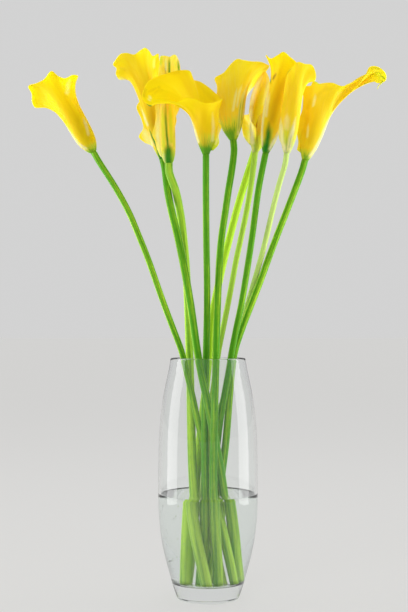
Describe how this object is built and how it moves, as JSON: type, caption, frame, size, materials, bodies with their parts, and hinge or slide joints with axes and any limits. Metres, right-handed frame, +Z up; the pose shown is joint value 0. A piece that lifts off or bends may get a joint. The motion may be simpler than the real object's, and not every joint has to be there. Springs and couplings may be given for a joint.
{
  "type": "bunch of calla lilies in a vase",
  "caption": "Yellow calla lilies on long bare green stems, standing in a tall barrel-shaped clear glass vase part filled with water.",
  "frame": {"origin": "Centre of the vase's flat foot, on the surface it stands on", "axes": "+Z up along the vase's axis; -Y towards the viewer, so +X is to the right of the view from the front"},
  "size_m": [0.3686, 0.1135, 0.5726],
  "materials": {
    "glass": "clear polished",
    "water": "clear",
    "stem": "smooth waxy green stalk",
    "spathe": "soft waxy petal",
    "spadix": "fine grainy"
  },
  "bodies": {
    "root": {"vase": "glass", "water": "water", "stem_1": "stem", "spathe_1": "spathe", "spadix_1": "spadix", "stem_2": "stem", "spathe_2": "spathe", "spadix_2": "spadix", "stem_3": "stem", "spathe_3": "spathe", "spadix_3": "spadix", "stem_4": "stem", "spathe_4": "spathe", "spadix_4": "spadix", "stem_5": "stem", "spathe_5": "spathe", "spadix_5": "spadix", "stem_6": "stem", "spathe_6": "spathe", "spadix_6": "spadix", "stem_7": "stem", "spathe_7": "spathe", "spadix_7": "spadix", "stem_8": "stem", "spathe_8": "spathe", "spadix_8": "spadix", "stem_9": "stem", "spathe_9": "spathe", "spadix_9": "spadix", "stem_10": "stem", "spathe_10": "spathe", "spadix_10": "spadix"}
  },
  "joints": []
}
